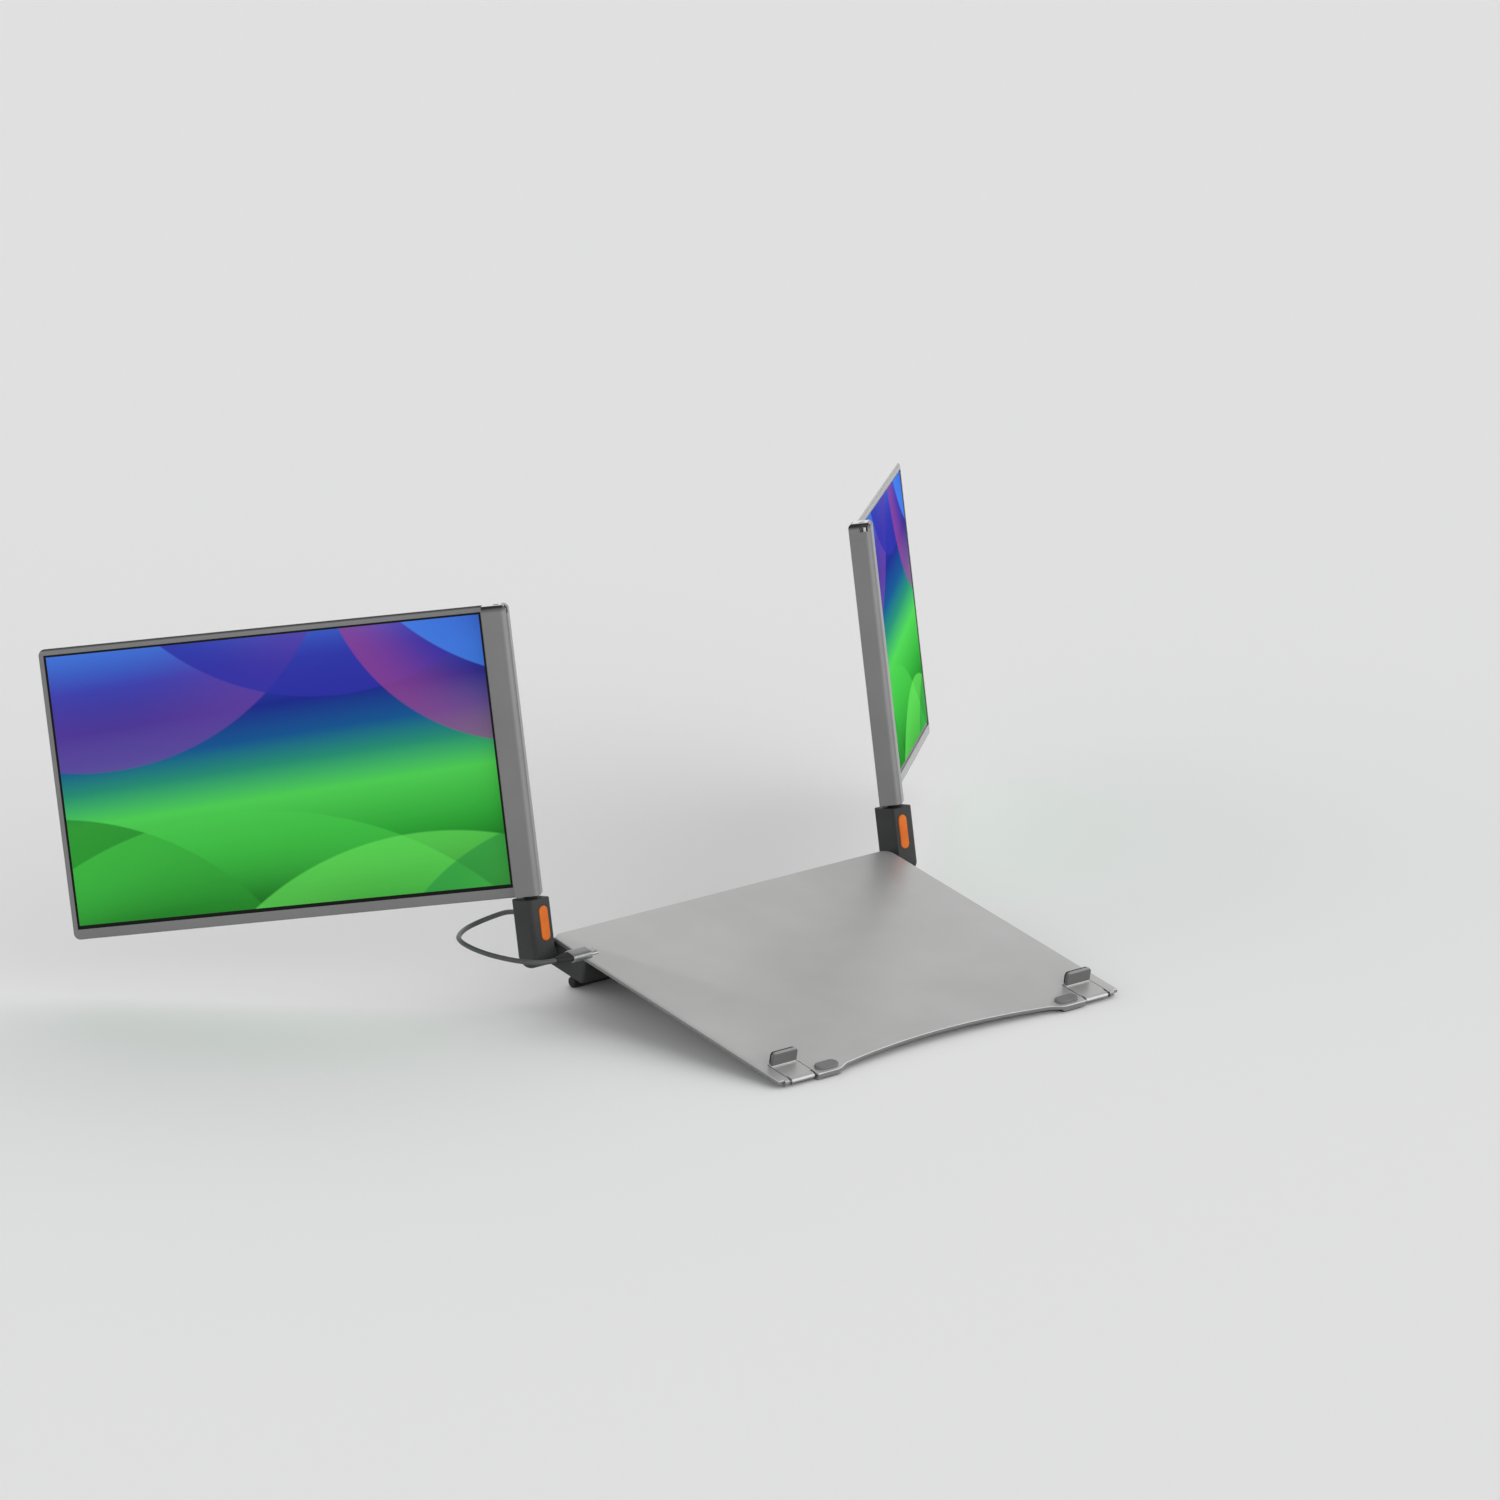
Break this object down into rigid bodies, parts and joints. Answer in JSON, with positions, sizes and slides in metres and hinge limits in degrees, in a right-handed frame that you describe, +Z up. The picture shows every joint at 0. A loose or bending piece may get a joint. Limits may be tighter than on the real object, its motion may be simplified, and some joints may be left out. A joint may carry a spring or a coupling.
{
  "type": "laptop screen extender",
  "caption": "Laptop screen extender: a sloping tray stand with tilting columns that carry swivelling flat displays beside a laptop.",
  "frame": {"origin": "on the desk, under the middle of the whole assembly without its lead", "axes": "+X to the right display, +Y away from the user, +Z up"},
  "size_m": [0.771, 0.5034, 0.2758],
  "materials": {
    "tray_aluminium": "anodised, light grey",
    "hook_metal": "dark grey, satin",
    "leg_aluminium": "anodised, mid grey",
    "steel": "turned steel",
    "brass": "sintered bearing brass",
    "column_plastic": "fine-textured dark grey",
    "housing_plastic": "fine-textured black grey",
    "button_plastic": "satin orange",
    "rubber_black": "matt black rubber",
    "rubber_grey": "matt grey rubber",
    "display_aluminium": "satin grey shell",
    "spine_aluminium": "satin grey extrusion",
    "cap_plastic": "satin dark grey",
    "glass": "coated cover glass",
    "backlight_plastic": "white light guide in a pressed frame",
    "board": "green circuit board",
    "cord_jacket": "grey jacket",
    "plug_metal": "anodised grey"
  },
  "bodies": {
    "stand": {"base_tray": "tray_aluminium", "front_bumpers": "rubber_grey", "front_feet": "rubber_black", "housing_screws": "steel", "flap_pins": "steel", "kickstand_brackets": "leg_aluminium", "kickstand_pin": "steel", "tilt_housing_left": "housing_plastic", "tilt_housing_right": "housing_plastic", "housing_cover_left": "housing_plastic", "housing_cover_right": "housing_plastic"},
    "kickstand": {"kickstand_leg": "leg_aluminium", "kickstand_foot": "rubber_black"},
    "left_hook": {"hook_flap_left": "hook_metal", "hook_pad_left": "rubber_black"},
    "left_column": {"column_body_left": "column_plastic", "column_cover_left": "column_plastic", "tilt_shaft_left": "steel", "friction_washers_left": "steel", "tilt_nut_left": "steel", "swivel_bush_left": "brass", "cord_relief": "rubber_black", "cord": "cord_jacket", "plug_boot": "rubber_black", "plug_body": "plug_metal", "plug_tip": "steel"},
    "left_button": {"release_button_left": "button_plastic", "button_spring_left": "steel"},
    "left_display": {"screen_frame_left": "display_aluminium", "back_cover_left": "display_aluminium", "lcd_panel_left": "glass", "backlight_left": "backlight_plastic", "driver_board_left": "board", "spine_left": "spine_aluminium", "spine_cap_left": "cap_plastic", "hinge_stud_left": "steel", "swivel_rod_left": "steel"},
    "right_hook": {"hook_flap_right": "hook_metal", "hook_pad_right": "rubber_black"},
    "right_column": {"column_body_right": "column_plastic", "column_cover_right": "column_plastic", "tilt_shaft_right": "steel", "friction_washers_right": "steel", "tilt_nut_right": "steel", "swivel_bush_right": "brass"},
    "right_button": {"release_button_right": "button_plastic", "button_spring_right": "steel"},
    "right_display": {"screen_frame_right": "display_aluminium", "back_cover_right": "display_aluminium", "lcd_panel_right": "glass", "backlight_right": "backlight_plastic", "driver_board_right": "board", "spine_right": "spine_aluminium", "spine_cap_right": "cap_plastic", "hinge_stud_right": "steel", "swivel_rod_right": "steel"}
  },
  "joints": [
    {"name": "left_hook_fold", "type": "hinge", "parent": "stand", "child": "left_hook", "pos_m": [-0.13606, -0.2478, 0.00332], "axis": [1, 0, 0], "range_deg": [0, 145]},
    {"name": "left_column_tilt", "type": "hinge", "parent": "stand", "child": "left_column", "pos_m": [-0.16781, -0.01256, 0.03816], "axis": [1, 0, 0], "range_deg": [-5, 20]},
    {"name": "left_display_swivel", "type": "hinge", "parent": "left_column", "child": "left_display", "pos_m": [-0.16781, -0.00683, 0.07066], "axis": [0, -0.1736, -0.9848], "range_deg": [-135.5, 25]},
    {"name": "left_button_press", "type": "slide", "parent": "left_column", "child": "left_button", "axis": [0, 0.9848, -0.1736], "range_m": [0, 0.0008], "stiffness_N_per_m": 800},
    {"name": "right_hook_fold", "type": "hinge", "parent": "stand", "child": "right_hook", "pos_m": [0.12794, -0.2478, 0.00332], "axis": [1, 0, 0], "range_deg": [0, 145]},
    {"name": "right_column_tilt", "type": "hinge", "parent": "stand", "child": "right_column", "pos_m": [0.15969, -0.01256, 0.03816], "axis": [1, 0, 0], "range_deg": [-5, 20]},
    {"name": "right_display_swivel", "type": "hinge", "parent": "right_column", "child": "right_display", "pos_m": [0.15969, -0.00683, 0.07066], "axis": [0, 0.1736, 0.9848], "range_deg": [-133.4, 27.1]},
    {"name": "right_button_press", "type": "slide", "parent": "right_column", "child": "right_button", "axis": [0, 0.9848, -0.1736], "range_m": [0, 0.0008], "stiffness_N_per_m": 800},
    {"name": "kickstand_fold", "type": "hinge", "parent": "stand", "child": "kickstand", "pos_m": [-0.00406, -0.01528, 0.04271], "axis": [1, 0, 0], "range_deg": [-105, 0]}
  ]
}
